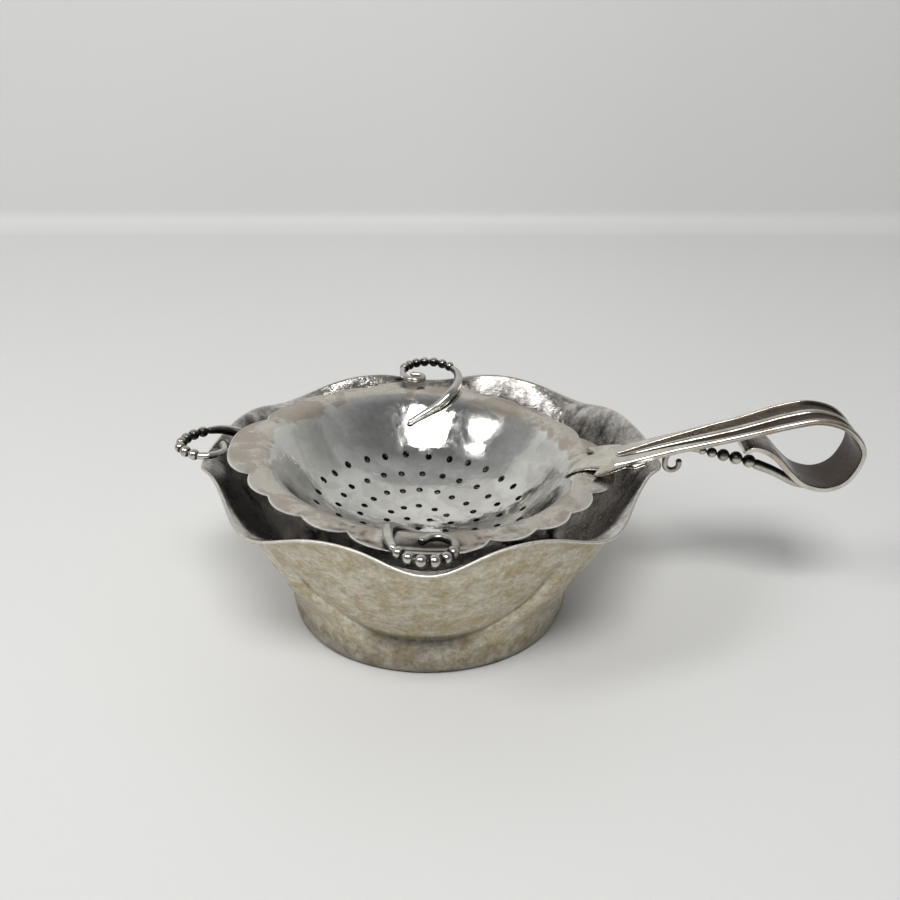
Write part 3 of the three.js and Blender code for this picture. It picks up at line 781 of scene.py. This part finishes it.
def strap_leaf():
    """Plate with pointed barbs that lies on the flange and rises into the strap."""
    outline = even(np.array(LEAF + LEAF[:1], float), 261)[:-1]
    points = [tuple(p) for p in outline]
    edges = [(i, (i + 1) % len(points)) for i in range(len(points))]
    for x in np.arange(29.5, 47.5, LEAF_STEP):
        for y in np.arange(-8.0, 8.5, LEAF_STEP):
            points.append((x + 0.01 * math.sin(9 * y), y))
    out = delaunay_2d_cdt([Vector(p) for p in points], edges, [], 1, CDT_LIMIT)
    flat = np.array([tuple(v) for v in out[0]])
    loop = {old: new for new, olds in enumerate(out[3]) for old in olds}
    loop = [loop[i] for i in range(len(outline))]
    inset = np.min(np.linalg.norm(flat[:, None] - outline[None], axis=2), axis=1)
    x, y = flat.T
    line = smooth(STRAP, STRAP_ROWS)
    rise = np.clip((x - 32.5) / 9.0, 0, 1)
    rise = rise * rise * (3 - 2 * rise)
    low = flange_top(x, y) + 0.75
    high = np.interp(x, line[:60, 0], line[:60, 1]) + 0.7 - 0.02 * np.abs(y) ** 1.5
    rounding = 0.3 * np.clip(1 - inset / 0.5, 0, 1) ** 2
    under_flutes = 0.9 * np.clip((x - 41.2 - 0.35 * np.abs(y)) / 2.0, 0, 1)
    z = low * (1 - rise) + high * rise - rounding - under_flutes
    top = np.stack([x, y, z], axis=1)
    bottom = np.stack([x, y, z - 0.85 - 0.4 * rise + 2 * rounding], axis=1)
    count = len(flat)
    faces = [tuple(f) for f in out[2]] + [tuple(i + count for i in reversed(f)) for f in out[2]]
    faces += [(loop[(i + 1) % len(loop)], loop[i], loop[i] + count, loop[(i + 1) % len(loop)] + count)
              for i in range(len(loop))]
    # Painted shade along the top's edge and on the underside, for the gap under the barbs
    dark = np.concatenate([np.clip(0.15 - inset, 0, 1) * 2, np.full(count, 0.6)])
    return np.vstack([top, bottom]), faces, dark


def strap():
    """The handle: the swept strap and the leaf it grows out of, in one piece."""
    sweep_points, sweep_faces, sweep_dark = strap_sweep()
    leaf_points, leaf_faces, leaf_dark = strap_leaf()
    points, faces = joined([(sweep_points, sweep_faces), (leaf_points, leaf_faces)])
    make("handle_strap_ribbed", points, faces, "strainer", "handle_strap", "handle_silver", handle_silver,
         dark=np.concatenate([sweep_dark, leaf_dark]))


# Along X, up, radius.
HANDLE_BALLS = [
    (71.4, 35.9, 1.5), (68.4, 36.7, 1.48), (65.5, 37.4, 1.38), (62.9, 38.0, 1.15), (60.7, 38.5, 0.95),
]
HOOK = (54.1, 35.3, 1.6)
# Along X and up.
HANDLE_STEM = [(86.2, 29.4), (82.6, 30.4), (79.6, 32.1), (76.6, 33.7), (73.2, 35.1)]


def painted_shade_under_strap(points, centres, base):
    """Painted shade on the upper side, towards the strap, over a base darkness."""
    nearest = np.argmin(np.linalg.norm(points[:, None] - centres[None], axis=2), axis=1)
    away = points - centres[nearest]
    return base + 0.7 * away[:, 2] / np.maximum(np.linalg.norm(away, axis=1), 1e-6)


def handle_wire():
    """Under the handle: a stem, five balls and a hook."""
    up = (0, 1.0, 0)
    stem = smooth([(x, 0, z) for x, z in HANDLE_STEM], 40)
    points, faces = wire(stem, [(0, 0.45), (0.4, 1.0), (1, 1.15)], up)
    make("handle_tendril_wire", points, faces, "strainer", "handle_tendril_stem", "wire_silver", wire_silver,
         dark=painted_shade_under_strap(points, stem, 0.3))
    centres = np.array([(x, 0, z) for x, z, _ in HANDLE_BALLS], float)
    along = np.gradient(centres, axis=0)
    for i, (_, _, radius) in enumerate(HANDLE_BALLS):
        points, faces = lathe_ball(centres[i], along[i], radius, 0.3)
        dark = painted_shade_under_strap(points, centres[i:i + 1], 0.3) + ball_dark(points, centres[i], along[i], radius)
        make(f"handle_ball_{i + 1}", points, faces, "strainer", f"handle_bead_{i + 1}", "bead_silver",
             bead_silver, dark=dark)
    x, z, r = HOOK
    path = [(59.9, 0, 38.7), (57.4, 0, 39.1), (55.4, 0, 38.9), (53.6, 0, 38.1), (52.7, 0, 36.9)]
    for degrees in range(175, 376, 25):
        a = math.radians(degrees)
        path.append((x + r * math.cos(a), 0, z + r * math.sin(a)))
    path = smooth(path, 60)
    points, faces = wire(path, [(0, 0.7), (0.5, 0.7), (0.9, 0.6), (1, 0.72)], up)
    make("handle_hook_wire", points, faces, "strainer", "handle_hook", "wire_silver", wire_silver,
         dark=painted_shade_under_strap(points, path, 0.25))


# ---- camera, stage and light ------------------------------------------------------
def camera():
    """Looks at the object from the front and above."""
    cam = bpy.data.objects.new("camera", bpy.data.cameras.new("camera"))
    bpy.context.scene.collection.objects.link(cam)
    back = Vector((0, -math.cos(CAMERA_ELEVATION), math.sin(CAMERA_ELEVATION)))
    cam.location = CAMERA_TARGET + CAMERA_DISTANCE * back
    cam.rotation_euler = (math.pi / 2 - CAMERA_ELEVATION, 0, 0)
    cam.data.lens = CAMERA_LENS
    cam.data.sensor_width = CAMERA_SENSOR
    cam.data.clip_start = 0.01
    bpy.context.scene.camera = cam


def stage():
    """A pale table that meets a pale wall a short way behind the object."""
    bend_start = WALL_AT - WALL_BEND
    line = [(TABLE_FRONT, 0.0), (-0.2, 0.0), (bend_start, 0.0)]
    for degrees in range(10, 91, 10):
        a = math.radians(degrees)
        line.append((bend_start + WALL_BEND * math.sin(a), WALL_BEND - WALL_BEND * math.cos(a)))
    line.append((WALL_AT, WALL_TOP))
    points = [(x, y, z) for y, z in line for x in (-TABLE_HALF_WIDTH, TABLE_HALF_WIDTH)]
    faces = [(2 * i, 2 * i + 1, 2 * i + 3, 2 * i + 2) for i in range(len(line) - 1)]
    mesh = bpy.data.meshes.new("table_and_wall")
    mesh.from_pydata(points, [], faces)
    mesh.polygons.foreach_set("use_smooth", [True] * len(faces))
    floor = bpy.data.objects.new("table_and_wall", mesh)
    bpy.context.scene.collection.objects.link(floor)
    material = bpy.data.materials.new("pale_table")
    n = Nodes(material)
    tone = n.ramp(n.noise(3, detail=2), [(0.3, (0.70, 0.70, 0.69)), (0.7, (0.73, 0.73, 0.72))])
    along = n.axes()
    # Painted shade: the table darkens towards the right and the front
    for axis, stops in TABLE_PAINTED_SHADE:
        share = n.ramp(n.math("ADD", along[axis], 0.5), stops)
        tone = n.mix(1.0, tone, share, "MULTIPLY")
    n.put(n.shader.inputs["Base Color"], tone)
    n.shader.inputs["Roughness"].default_value = 0.5
    mesh.materials.append(material)


def area_light(name, direction, distance, size, power, colour):
    """A rectangular light that stands in a direction from the object and faces it."""
    data = bpy.data.lights.new(name, "AREA")
    data.energy = power
    data.color = colour
    data.shape = "RECTANGLE"
    data.size, data.size_y = size
    light = bpy.data.objects.new(name, data)
    bpy.context.scene.collection.objects.link(light)
    direction = Vector(direction).normalized()
    light.location = direction * distance + LIGHTS_AIM
    light.rotation_euler = direction.to_track_quat("Z", "Y").to_euler()


def world():
    """Dim room: dark on the camera's side, paler behind and at the sides."""
    room = bpy.data.worlds.new("studio")
    n = Nodes(room, "Background", "Generated")
    along = n.axes()
    levels = []
    for axis, stops in (("Z", ROOM_BY_HEIGHT), ("Y", ROOM_BY_DEPTH)):
        share = n.math("ADD", n.math("MULTIPLY", along[axis], 0.5), 0.5)
        levels.append(n.ramp(share, [(0.5 + 0.5 * at, level) for at, level in stops]))
    n.put(n.shader.inputs["Color"], n.mix(1.0, *levels, "MULTIPLY"))
    n.shader.inputs["Strength"].default_value = ROOM_STRENGTH
    bpy.context.scene.world = room


bpy.context.scene.view_settings.view_transform = "Standard"
camera()
stage()
world()
for name, row in LIGHTS.items():
    area_light(name, *row)
drip_bowl()
strainer_bowl()
# Base darkness of each tendril, stem to scroll: partly oxidised silver, partly painted shade
tendril("back", 90, BACK, balls=7, darkening=(0.38, 0.56))
tendril("left", 180, LEFT, balls=7, darkening=(0.7, 0.36))
tendril("front", 270, FRONT, balls=6, darkening=(0.42, 0.48), scroll_radius=0.95)
strap()
handle_wire()
